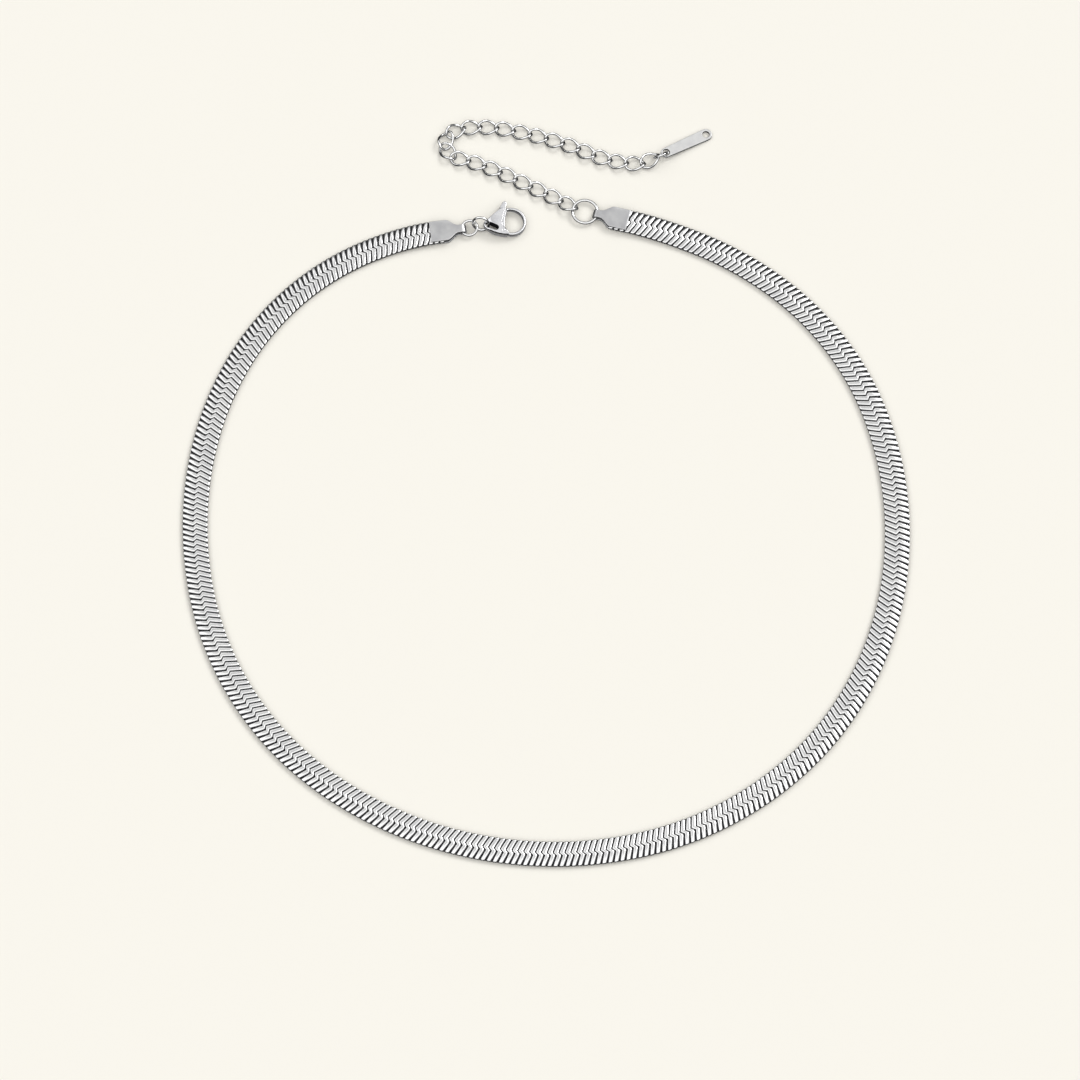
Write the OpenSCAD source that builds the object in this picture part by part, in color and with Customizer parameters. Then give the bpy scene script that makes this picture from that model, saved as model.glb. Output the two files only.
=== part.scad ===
// Flat herringbone necklace, laid out on a table with its clasp open.
// A woven band of folded links ends in two folded sheet caps. The left cap carries
// two jump rings and a lobster clasp. The right cap carries a large ring and a
// curb-link extender with a plain tag at its end.
// Millimetres, +Z up. The origin is the middle of the outline, on the table.

/* [Band] */
// Length of the band between the mouths of the two caps
band_length = 376; // [360:2:410]
// Width of the band over the edges of its links
band_w = 4.7; // [3.8:0.1:5.4]
// Thickness of the band over its links
band_t = 0.95; // [0.85:0.05:1.5]
// Distance from one woven link to the next
weave_pitch = 1.1; // [1:0.05:1.5]
// Depth of the groove between two links, on each face and edge
weave_groove = 0.12; // [0.05:0.01:0.2]

/* [End caps] */
// Length of a cap from its mouth to the end of its fold
cap_l = 7; // [6:0.1:9]
// Width of the folded neck that holds a ring
cap_neck_w = 1.6; // [1.2:0.1:1.8]
// Thickness of the folded sheet
cap_sheet = 0.3; // [0.2:0.05:0.4]
// Length of band pressed between the plates of a cap
band_in_cap = 3.3; // [2:0.1:3.6]
// Thickness of the pressed end of the band
band_end_t = 0.8; // [0.7:0.05:0.9]

/* [Rings] */
// Outer diameter of the large ring on the right cap
extender_ring_d = 5.4; // [4.8:0.1:7]
// Wire of the large ring
extender_ring_wire = 0.55; // [0.4:0.05:0.6]
// Outer diameter of the two rings that carry the clasp
clasp_ring_d = 3.6; // [3.4:0.1:4]
// Wire of the two rings that carry the clasp
clasp_ring_wire = 0.5; // [0.35:0.05:0.5]
// Outer diameter of the ring that carries the tag
tag_ring_d = 3.2; // [3.1:0.1:3.6]
// Wire of the ring that carries the tag
tag_ring_wire = 0.4; // [0.3:0.05:0.45]

/* [Extender] */
// Number of curb links
link_count = 23; // [12:1:24]
// Length of a curb link
link_l = 4.4; // [4:0.05:5]
// Width of a curb link before it is twisted
link_w = 3.2; // [3:0.05:3.6]
// Wire of a curb link
link_wire = 0.46; // [0.35:0.01:0.5]
// Twist of each half of a curb link, in degrees
link_twist = 46; // [40:1:50]

/* [Tag] */
// Length of the tag
tag_l = 11; // [8:0.1:16]
// Width of the tag at its far end
tag_w = 2.4; // [2.2:0.1:3.5]
// Width of the tag at its ring end
tag_neck_w = 2; // [1.9:0.1:2.4]
// Thickness of the tag
tag_t = 0.5; // [0.3:0.05:0.6]
// Diameter of the open hole at the far end
tag_hole_d = 1.4; // [1:0.1:1.6]
// Diameter of the hole that its ring passes through
tag_eye_d = 1.4; // [1.3:0.05:1.5]

/* [Clasp] */
// Thickness of the clasp over its two cheeks
clasp_t = 1.6; // [1.4:0.1:2]
// Thickness of the flattened tail round the eye
clasp_tail_t = 0.8; // [0.7:0.05:0.9]
// Outer radius of the round hook
hook_r = 2.9; // [2.6:0.1:3.2]
// Width of the hook, seen from above
hook_w = 0.5; // [0.4:0.05:0.6]
// Height of the hook
hook_t = 1.2; // [0.9:0.1:1.4]
// Thickness of the lever between the cheeks
lever_t = 0.7; // [0.5:0.05:0.8]
// Diameter of the hinge pin
pin_d = 0.45; // [0.3:0.05:0.5]
// Width of the eye in the tail
clasp_eye_w = 1.15; // [1.1:0.05:1.2]
// Length of the eye in the tail
clasp_eye_l = 2.6; // [2.3:0.1:2.7]

/* [Hidden] */

// Clearances
seat_gap = 0.05;
ring_gap = 0.08;
link_gap = 0.15;
pin_gap = 0.03;
lever_gap = 0.06;

// Route of the band, as its heading at each 24th of its length. It runs from the
// left cap down, along the front and up to the right cap.
band_route = [
    -169.5, -152, -134, -117.5, -103.5, -91, -79.5, -65.5, -51, -36.5, -23.5, -11, 1.5,
    14.5, 29, 43, 58, 72, 85, 97, 110, 125.5, 141, 155, 166];
// Route of the extender: [share of the links, heading]
extender_route = [
    [0, 151], [0.18, 153], [0.27, 159], [0.32, 167], [0.365, 127], [0.41, 69], [0.455, 22],
    [0.5, 4], [0.59, -11], [0.73, -18], [0.82, -26], [0.91, -11], [0.955, -2], [1, 28]];
// Heading of the left cap, from its mouth
left_heading = 8;
// Bearing of the standing clasp ring from the ring before it, and headings of that ring,
// the clasp, the first link from the middle of its ring, and the tag with its ring
ring_b_bearing = 14;
clasp_ring_heading = -8;
clasp_heading = -4;
first_link_bearing = 160;
tag_ring_heading = 24;
tag_heading = 28;
// Lean of the two standing rings from upright, towards the back of the table
clasp_ring_lean = 24;
tag_ring_lean = -28;
// Lift of one end of the pieces that lie on a standing ring, and roll of the first link
ring_a_lift = 9;
clasp_lift = 7;
extender_ring_lift = 2;
first_link_roll = 10;
last_link_lift = 7;
tag_lift = 3.5;

// One woven link across the band, from the inner to the outer edge of the necklace:
// [share of the width, lead along the band as a share of the pitch, share of the thickness]
weave_profile = [
    [0, 0.56, 0.84],
    [0.45, -0.28, 1],
    [0.57, 0.26, 1],
    [1, -0.36, 0.84]];
wire_sides = 6;
link_steps = 12;

function heading(a) = [cos(a), sin(a)];
function leftward(a) = [-sin(a), cos(a)];
function unit(v) = v / norm(v);
function mix(p, q, f) = p + f * (q - p);
function ease(f) = let (g = max(0, min(1, f))) g * g * (3 - 2 * g);
function xs(points) = [for (p = points) p.x];
function ys(points) = [for (p = points) p.y];
function turned(p, a) = [p.x * cos(a) - p.y * sin(a), p.x * sin(a) + p.y * cos(a)];
function link_name(i) = str("link_", i < 10 ? "0" : "", i);

// Sizes of the caps
cap_inner = max(band_end_t, extender_ring_wire, clasp_ring_wire) + 2 * seat_gap;
cap_t = cap_inner + 2 * cap_sheet;
cap_reach = cap_l - cap_t / 2;
cap_shoulder = 0.45;
cap_inset = 0.2;
cap_neck = 0.78;

// Route of the band, with one station for each ridge and each groove
weave_count = round((band_length + 2 * band_in_cap) / weave_pitch);
weave_step = (band_length + 2 * band_in_cap) / weave_count / 2;
band_rise = 12;
press_run = 2;

function band_heading(s) =
    lookup(s / band_length * (len(band_route) - 1), [for (i = [0 : len(band_route) - 1]) [i, band_route[i]]]);

band_stations = [
    for (i = 0, p = -band_in_cap * heading(band_route[0]);
         i <= 2 * weave_count;
         p = p + weave_step * heading(band_heading(-band_in_cap + (i + 0.5) * weave_step)), i = i + 1) p];

function band_point(s, side) =
    let (
        k = (s + band_in_cap) / weave_step,
        i = max(0, min(2 * weave_count - 1, floor(k))),
        a = band_heading(s))
    mix(band_stations[i], band_stations[i + 1], k - i) + side * leftward(a);

// Distance outside the nearer cap mouth, negative within a cap
function outside_cap(s) = min(s, band_length - s);
function band_thickness(s) = mix(band_end_t, band_t, ease(outside_cap(s) / press_run));
function band_height(s) = mix(cap_t / 2, band_t / 2, ease(outside_cap(s) / band_rise));

// Eight points round the band at one station: the top from inner to outer edge, then the bottom back
function weave_section(i) =
    let (
        s = -band_in_cap + i * weave_step,
        cut = i % 2 == 0 ? weave_groove : 0,
        edge = [for (row = weave_profile)
            let (
                at = s + row[1] * weave_pitch,
                p = band_point(at, (0.5 - row[0]) * (band_w - 2 * cut)))
            [p.x, p.y, band_height(at), (band_thickness(at) / 2 - cut) * row[2]]])
    concat(
        [for (p = edge) [p[0], p[1], p[2] + p[3]]],
        [for (j = [len(edge) - 1 : -1 : 0]) let (p = edge[j]) [p[0], p[1], p[2] - p[3]]]);

// Distance from the middle of a fold to the middle of the ring that pulls on it
function fold_seat(r, wire) =
    cap_inner / 2 + sqrt(pow(r - wire / 2 - ring_gap, 2) - pow(cap_neck_w / 2, 2));

// Half of a standing ring's level chord, a height above its middle
function chord_half(r, v) = sqrt(pow(r, 2) - pow(v, 2));

// Pieces of the left side: a ring in the fold, then a standing ring through the clasp's eye
left_fold = cap_reach * heading(left_heading);
clasp_ring_r = (clasp_ring_d - clasp_ring_wire) / 2;
ring_a_centre = left_fold + fold_seat(clasp_ring_r, clasp_ring_wire) * heading(left_heading);
ring_a_z = cap_t / 2 + clasp_ring_r * sin(ring_a_lift);
ring_b_centre = ring_a_centre
    + clasp_ring_r * (cos(ring_a_lift) + 0.49) * heading(ring_b_bearing);
ring_b_z = clasp_ring_r * cos(clasp_ring_lean) + clasp_ring_wire / 2;

// Clasp, with the middle of its round hook at [0, 0] and its tail towards -X.
// The tail is lifted on the standing ring, so the clasp rests on its hook.
hook_mid_r = hook_r - hook_w / 2;
pivot = [-0.43 * hook_r, -0.71 * hook_r];
hub_r = 0.5;
hook_from = atan2(pivot.y, pivot.x) + 2 * asin((hub_r + 2 * lever_gap) / norm(pivot) / 2);
hook_to = 114;
nose_from = hook_to + 1.5;
eye_slope = -18;
eye_mid = [-1.244 * hook_r, -0.516 * hook_r];
tail_tip = [-1.83 * hook_r, -0.33 * hook_r];
slot_t = lever_t + 2 * lever_gap;
lever_swing = 20;
eye_seat = eye_mid - (clasp_eye_l - clasp_eye_w) / 2 * heading(eye_slope);
clasp_z = max(
    hook_t / 2 * cos(clasp_lift) + hook_r * sin(clasp_lift),
    clasp_t / 2 * cos(clasp_lift) - 0.12 * hook_r * sin(clasp_lift));
eye_drop = (clasp_z - eye_seat.x * sin(clasp_lift) - ring_b_z) / cos(clasp_ring_lean);
eye_point = ring_b_centre
    + 0.97 * chord_half(clasp_ring_r, eye_drop) * heading(clasp_ring_heading)
    + eye_drop * sin(clasp_ring_lean) * leftward(clasp_ring_heading);
clasp_centre = eye_point - turned([eye_seat.x * cos(clasp_lift), eye_seat.y], clasp_heading);

// Pieces of the right side
right_heading = band_route[len(band_route) - 1];
right_mouth = band_point(band_length, 0);
right_fold = right_mouth + cap_reach * heading(right_heading);
extender_ring_r = (extender_ring_d - extender_ring_wire) / 2;
extender_ring_centre = right_fold
    + fold_seat(extender_ring_r, extender_ring_wire) * heading(right_heading);
extender_ring_z = cap_t / 2 + extender_ring_r * sin(extender_ring_lift);

// Curb link: an oval of wire twisted about its length. Its sections stand either
// side of the two bows, so the oval is drawn that much larger.
link_step = 360 / link_steps;
link_rx = (link_l - link_wire) / 2;
link_ry = (link_w - link_wire) / 2;

function link_roll(a) = -link_twist * cos(a);
function link_point(a) =
    let (x = link_rx * cos(a), y = link_ry * sin(a)) 1 / cos(link_step / 2)
    * [x, y * cos(link_roll(a)), y * sin(link_roll(a))];
function link_section(a) =
    let (
        along = unit(link_point(a + 1) - link_point(a - 1)),
        lean = [link_ry * cos(a), link_rx * sin(a) * cos(link_roll(a)), link_rx * sin(a) * sin(link_roll(a))],
        out = unit(lean - (lean * along) * along),
        up = cross(along, out))
    [for (j = [0 : wire_sides - 1])
        link_point(a) + link_wire / 2 * (cos(360 * j / wire_sides) * out + sin(360 * j / wire_sides) * up)];

link_points = [for (i = [0 : link_steps - 1]) each link_section((i + 0.5) * link_step)];

// Height of a link's middle, so that it touches the table when rolled by an angle
function link_height(roll) = -min([for (p = link_points) p.y * sin(roll) + p.z * cos(roll)]);

// Headings of the links, the reach from a joint to the middle of a link, and the joints.
// Two neighbours overlap more where the chain bends or rolls.
function link_heading(i) = lookup((i - 1) / (link_count - 1), extender_route);
function link_bend(i) =
    i < 1 || i >= link_count ? 0
    : abs(link_heading(i + 1) - link_heading(i)) + (i == 1 ? first_link_roll : 0);
function link_reach(i) = link_rx - (link_wire + link_gap + link_bend(i) / 150) / 2;

link_start = extender_ring_centre
    + (extender_ring_r - (link_wire + extender_ring_wire) / 2 - 2 * link_gap) * heading(first_link_bearing);
link_centres = [
    for (i = 1, p = link_start + link_rx * heading(link_heading(1));
         i <= link_count;
         p = p + link_reach(i) * (heading(link_heading(i)) + heading(link_heading(i + 1))), i = i + 1) p];

// Pieces at the end of the extender: the last link and the tag lie on a standing ring
tag_ring_r = (tag_ring_d - tag_ring_wire) / 2;
tag_ring_z = tag_ring_r * cos(tag_ring_lean) + tag_ring_wire / 2;
last_bow = link_centres[link_count - 1] + link_rx * heading(link_heading(link_count));
tag_ring_centre = last_bow + 0.23 * tag_ring_r * heading(tag_ring_heading)
    - link_wire / 2 * leftward(tag_ring_heading);
tag_far = tag_l - (tag_w + tag_neck_w) / 2;
tag_eye_z = (tag_far + tag_w / 2) * sin(tag_lift);
tag_eye_drop = (tag_eye_z + tag_t / 2 - tag_ring_z) / cos(tag_ring_lean);
tag_eye = tag_ring_centre
    + chord_half(tag_ring_r, tag_eye_drop) * heading(tag_ring_heading)
    + tag_eye_drop * sin(tag_ring_lean) * leftward(tag_ring_heading);

// The whole outline is centred on the origin
band_points = [for (i = [0 : 2 * weave_count]) each weave_section(i)];
link_outline = [for (c = link_centres) each [c - [link_w, link_w] / 2, c + [link_w, link_w] / 2]];
outline = concat(band_points, link_outline);
middle = [
    (min(xs(outline)) + max(xs(outline))) / 2,
    (min(ys(outline)) + max(ys(outline))) / 2];

// Puts a piece at a place and height, turned to a heading, with its -X end lifted
module placed(at, turn, z = 0, lift = 0) {
    translate([at.x - middle.x, at.y - middle.y, z]) rotate([0, lift, turn]) children();
}

// Mesh of sections joined into a strip, closed to a loop or capped at both ends
module skin(points, sides, sections, closed) {
    last = sections - 1;
    walls = [
        for (i = [0 : closed ? last : last - 1], j = [0 : sides - 1])
            let (
                a = i * sides + j,
                b = i * sides + (j + 1) % sides,
                c = ((i + 1) % sections) * sides + (j + 1) % sides,
                d = ((i + 1) % sections) * sides + j)
            each [[a, c, b], [a, d, c]]];
    half = sides / 2;
    ends = closed ? [] : [
        for (k = [0, last], j = [0 : half - 2])
            let (
                a = k * sides + j,
                b = k * sides + j + 1,
                c = k * sides + sides - 2 - j,
                d = k * sides + sides - 1 - j)
            each k == 0 ? [[a, b, c], [a, c, d]] : [[a, c, b], [a, d, c]]];
    polyhedron(points, concat(walls, ends), convexity = 10);
}

module ring(outer_d, wire) {
    rotate_extrude($fn = 48) translate([(outer_d - wire) / 2, 0]) circle(d = wire, $fn = 24);
}

module herringbone_band() {
    color("silver")
        translate([-middle.x, -middle.y, 0])
            skin(band_points, 2 * len(weave_profile), 2 * weave_count + 1, false);
}

// Half width of a cap at a distance from its mouth, and the outline with its shoulders
function cap_half_w(x) =
    mix(band_w - 2 * cap_inset, cap_neck_w, ease((x / cap_l - cap_shoulder) / (cap_neck - cap_shoulder))) / 2;

module cap_outline() {
    steps = concat([0], [for (i = [0 : 8]) mix(cap_shoulder, cap_neck, i / 8) * cap_l], [cap_l]);
    polygon(concat(
        [for (x = steps) [x, -cap_half_w(x)]],
        [for (i = [len(steps) - 1 : -1 : 0]) [steps[i], cap_half_w(steps[i])]]));
}

// Side view of a strip folded round the ring, with its mouth at x = 0
module cap_fold() {
    difference() {
        union() {
            translate([0, -cap_t / 2]) square([cap_reach, cap_t]);
            translate([cap_reach, 0]) circle(d = cap_t, $fn = 48);
        }
        translate([-1, -cap_inner / 2]) square([cap_reach + 1, cap_inner]);
        translate([cap_reach, 0]) circle(d = cap_inner, $fn = 48);
    }
}

module end_cap() {
    color("gainsboro")
        intersection() {
            translate([0, 0, -cap_t]) linear_extrude(2 * cap_t) cap_outline();
            rotate([90, 0, 0]) translate([0, 0, -band_w]) linear_extrude(2 * band_w) cap_fold();
        }
}

module end_cap_clasp() {
    placed([0, 0], left_heading, cap_t / 2) end_cap();
}

module end_cap_extender() {
    placed(right_mouth, right_heading, cap_t / 2) end_cap();
}

module clasp_ring_a() {
    color("silver")
        placed(ring_a_centre, left_heading, ring_a_z, -ring_a_lift) ring(clasp_ring_d, clasp_ring_wire);
}

module clasp_ring_b() {
    color("silver")
        placed(ring_b_centre, clasp_ring_heading, ring_b_z)
            rotate([90 - clasp_ring_lean, 0, 0]) ring(clasp_ring_d, clasp_ring_wire);
}

// Outline of the cheeks, from the tail along the top edge and back under the pivot
module cheek_outline() {
    polygon([
        tail_tip,
        tail_tip + [0.07 * hook_r, 0.16 * hook_r],
        [-1.51 * hook_r, 0.07 * hook_r],
        [-0.83 * hook_r, 0.8 * hook_r],
        [-0.61 * hook_r, 0.96 * hook_r],
        [-0.49 * hook_r, 0.71 * hook_r],
        [-0.56 * hook_r, 0.33 * hook_r],
        [-0.61 * hook_r, -0.11 * hook_r],
        [-0.54 * hook_r, -0.46 * hook_r],
        [-0.36 * hook_r, -0.56 * hook_r],
        [-0.23 * hook_r, -0.68 * hook_r],
        [-0.13 * hook_r, -0.83 * hook_r],
        [-0.12 * hook_r, -0.98 * hook_r],
        [-0.45 * hook_r, -1 * hook_r],
        [-0.79 * hook_r, -0.98 * hook_r],
        [-1.17 * hook_r, -0.9 * hook_r],
        [-1.52 * hook_r, -0.76 * hook_r],
        tail_tip + [0.09 * hook_r, -0.26 * hook_r],
        tail_tip + [0.02 * hook_r, -0.12 * hook_r]]);
}

// Room for the lever between the cheeks, over its whole swing
module slot_outline() {
    back = 90 + lever_swing + 2;
    polygon([
        pivot + (hub_r + lever_gap) * heading(back + 90),
        pivot + (hub_r + lever_gap) * heading(back + 90) + 3 * hook_r * heading(back),
        pivot + 3 * hook_r * heading(60),
        pivot + (hub_r + lever_gap) * heading(-30)]);
    translate(pivot) circle(r = hub_r + lever_gap, $fn = 48);
}

module clasp_eye() {
    translate(eye_mid) rotate(eye_slope) {
        square([clasp_eye_l - clasp_eye_w, clasp_eye_w], center = true);
        for (side = [-1, 1])
            translate([side * (clasp_eye_l - clasp_eye_w) / 2, 0]) circle(d = clasp_eye_w, $fn = 48);
    }
}

// Side view of the body: the tail is thinner than the cheeks
module clasp_side() {
    polygon([
        [-2.2 * hook_r, -clasp_tail_t / 2],
        [-1.57 * hook_r, -clasp_tail_t / 2],
        [-1.3 * hook_r, -clasp_t / 2],
        [0, -clasp_t / 2],
        [0, clasp_t / 2],
        [-1.3 * hook_r, clasp_t / 2],
        [-1.57 * hook_r, clasp_tail_t / 2],
        [-2.2 * hook_r, clasp_tail_t / 2]]);
}

module hook() {
    intersection() {
        rotate_extrude($fn = 96)
            translate([hook_mid_r, 0])
                square([hook_w, hook_t], center = true);
        translate([0, 0, -hook_t])
            linear_extrude(2 * hook_t)
                polygon(concat(
                    [[0, 0]],
                    [for (i = [0 : 8]) 2 * hook_r * heading(mix(hook_from, hook_to, i / 8))]));
    }
}

module cheeks() {
    difference() {
        intersection() {
            translate([0, 0, -clasp_t]) linear_extrude(2 * clasp_t) cheek_outline();
            rotate([90, 0, 0]) translate([0, 0, -2 * hook_r]) linear_extrude(4 * hook_r) clasp_side();
        }
        translate([0, 0, -slot_t / 2]) linear_extrude(slot_t) slot_outline();
        translate([0, 0, -clasp_t]) linear_extrude(2 * clasp_t) clasp_eye();
        translate([pivot.x, pivot.y, -clasp_t]) cylinder(h = 2 * clasp_t, d = pin_d + 2 * pin_gap, $fn = 32);
    }
}

module clasp_body() {
    color("gainsboro")
        placed(clasp_centre, clasp_heading, clasp_z, clasp_lift) {
            cheeks();
            hook();
        }
}

module clasp_pin() {
    color("dimgray")
        placed(clasp_centre, clasp_heading, clasp_z, clasp_lift)
            translate([pivot.x, pivot.y, -clasp_t / 2]) cylinder(h = clasp_t, d = pin_d, $fn = 32);
}

// Lever seen from above: hub, closing edge with its nose at the hook, thumb tab and back
module lever_outline() {
    translate(pivot) circle(r = hub_r, $fn = 48);
    polygon([
        pivot + hub_r * heading(0),
        [-0.39 * hook_r, -0.42 * hook_r],
        [-0.43 * hook_r, 0.06 * hook_r],
        [-0.41 * hook_r, 0.38 * hook_r],
        0.8 * hook_r * heading(nose_from),
        1.04 * hook_r * heading(nose_from),
        [-0.39 * hook_r, 1.3 * hook_r],
        [-0.45 * hook_r, 1.44 * hook_r],
        [-0.54 * hook_r, 1.47 * hook_r],
        [-0.65 * hook_r, 1.4 * hook_r],
        [-0.85 * hook_r, 0.97 * hook_r],
        [-0.64 * hook_r, 0.66 * hook_r],
        pivot + hub_r * heading(180)]);
}

module clasp_lever() {
    color("silver")
        placed(clasp_centre, clasp_heading, clasp_z, clasp_lift)
            difference() {
                translate([0, 0, -lever_t / 2]) linear_extrude(lever_t) lever_outline();
                translate([pivot.x, pivot.y, -lever_t]) cylinder(h = 2 * lever_t, d = pin_d + 2 * pin_gap, $fn = 32);
            }
}

module extender_ring() {
    color("silver")
        placed(extender_ring_centre, right_heading, extender_ring_z, -extender_ring_lift)
            ring(extender_ring_d, extender_ring_wire);
}

module curb_link(i) {
    roll = i == 1 ? first_link_roll : 0;
    lift = i == link_count ? last_link_lift : 0;
    color("silver")
        placed(link_centres[i - 1], link_heading(i), link_height(roll) + link_rx * sin(lift), -lift)
            rotate([roll, 0, 0]) skin(link_points, wire_sides, link_steps, true);
}

module tag_ring() {
    color("silver")
        placed(tag_ring_centre, tag_ring_heading, tag_ring_z)
            rotate([90 - tag_ring_lean, 0, 0]) ring(tag_ring_d, tag_ring_wire);
}

// The tag lies with its ring end raised on the wire of its ring
module tag() {
    color("gainsboro")
        placed(tag_eye, tag_heading, tag_eye_z, tag_lift)
            difference() {
                linear_extrude(tag_t)
                    hull() {
                        circle(d = tag_neck_w, $fn = 48);
                        translate([tag_far, 0]) circle(d = tag_w, $fn = 48);
                    }
                translate([0, 0, -tag_t]) cylinder(h = 3 * tag_t, d = tag_eye_d, $fn = 32);
                translate([tag_far, 0, -tag_t]) cylinder(h = 3 * tag_t, d = tag_hole_d, $fn = 32);
            }
}

herringbone_band();
end_cap_clasp();
end_cap_extender();
clasp_ring_a();
clasp_ring_b();
clasp_body();
clasp_pin();
clasp_lever();
extender_ring();
tag_ring();
tag();
for (i = [1 : link_count]) {
    curb_link(i);
}
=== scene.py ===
"""Looks of the flat herringbone necklace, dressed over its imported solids.

Each sub-assembly is a class: its sizes are fields, in millimetres, and its methods
build the meshes, place them where the solids are and dress them in their finishes.
"""

import logging
import math
from collections.abc import Callable, Sequence
from dataclasses import dataclass, field
from enum import Enum

import bmesh
import bpy
from bmesh.types import BMEdge, BMesh, BMVert
from mathutils import Matrix, Vector
from mathutils.geometry import intersect_point_line


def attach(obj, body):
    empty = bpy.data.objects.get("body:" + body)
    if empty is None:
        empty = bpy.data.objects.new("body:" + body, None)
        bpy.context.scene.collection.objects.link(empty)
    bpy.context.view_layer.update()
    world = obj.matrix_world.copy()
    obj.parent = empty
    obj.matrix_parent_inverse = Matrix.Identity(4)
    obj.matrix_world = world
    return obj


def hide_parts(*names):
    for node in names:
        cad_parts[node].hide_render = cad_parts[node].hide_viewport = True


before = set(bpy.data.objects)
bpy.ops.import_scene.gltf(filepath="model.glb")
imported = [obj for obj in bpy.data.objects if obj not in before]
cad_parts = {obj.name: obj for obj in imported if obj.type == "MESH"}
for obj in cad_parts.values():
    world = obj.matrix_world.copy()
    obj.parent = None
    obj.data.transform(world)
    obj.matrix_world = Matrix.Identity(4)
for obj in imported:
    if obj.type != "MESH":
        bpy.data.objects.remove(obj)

MM = 0.001
# Points this near a wall, in millimetres, count as on it
WALL = 0.02
log = logging.getLogger("necklace")


class Body(Enum):
    """The rigid bodies that the pieces ride on."""

    NECKLACE = "necklace"
    LEVER = "lever"


class Grain(Enum):
    """Direction of the fine scratches in a finish, as their stretch along X, Y and Z."""

    EVEN = (1.0, 1.0, 1.0)
    LONG = (0.12, 1.0, 1.0)


# Small maths


def heading(degrees: float) -> Vector:
    """Unit vector on the table at an angle from +X."""
    return Vector((math.cos(math.radians(degrees)), math.sin(math.radians(degrees)), 0.0))


def leftward(degrees: float) -> Vector:
    """Unit vector on the table to the left of a heading."""
    return heading(degrees + 90.0)


def mix(low: float, high: float, share: float) -> float:
    """Value that lies a share of the way from low to high."""
    return low + share * (high - low)


def ease(share: float) -> float:
    """Share from 0 to 1, flattened at both ends."""
    held = max(0.0, min(1.0, share))
    return held * held * (3.0 - 2.0 * held)


def lookup(value: float, rows: Sequence[tuple[float, float]]) -> float:
    """Value read between the rows of a table.

    Args:
        value: Where to read, in the first column.
        rows: Pairs in rising order of their first number.

    Returns:
        The second column at that place, held at both ends.
    """
    if value <= rows[0][0]:
        return rows[0][1]
    for (left, low), (right, high) in zip(rows, rows[1:]):
        if value <= right:
            return mix(low, high, (value - left) / (right - left))
    return rows[-1][1]


@dataclass(frozen=True)
class Place:
    """Where a piece lies: its middle in millimetres, then its turns in degrees."""

    x: float
    y: float
    z: float = 0.0
    turn: float = 0.0
    lift: float = 0.0
    roll: float = 0.0

    def matrix(self) -> Matrix:
        """Matrix that rolls, lifts, turns and then moves a piece to its place."""
        return (
            Matrix.Translation((self.x, self.y, self.z))
            @ Matrix.Rotation(math.radians(self.turn), 4, "Z")
            @ Matrix.Rotation(math.radians(self.lift), 4, "Y")
            @ Matrix.Rotation(math.radians(self.roll), 4, "X")
        )


# Finishes


def join(tree: bpy.types.NodeTree, links: Sequence[tuple[bpy.types.Node, str, bpy.types.Node, str]]) -> None:
    """Joins nodes of a tree.

    Args:
        tree: The tree.
        links: A node and its output, then a node and its input, for each link.
    """
    for start, out, end, into in links:
        source = next(s for s in start.outputs if s.name == out and s.enabled)
        target = next(s for s in end.inputs if s.name == into and s.enabled)
        tree.links.new(source, target)


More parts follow.
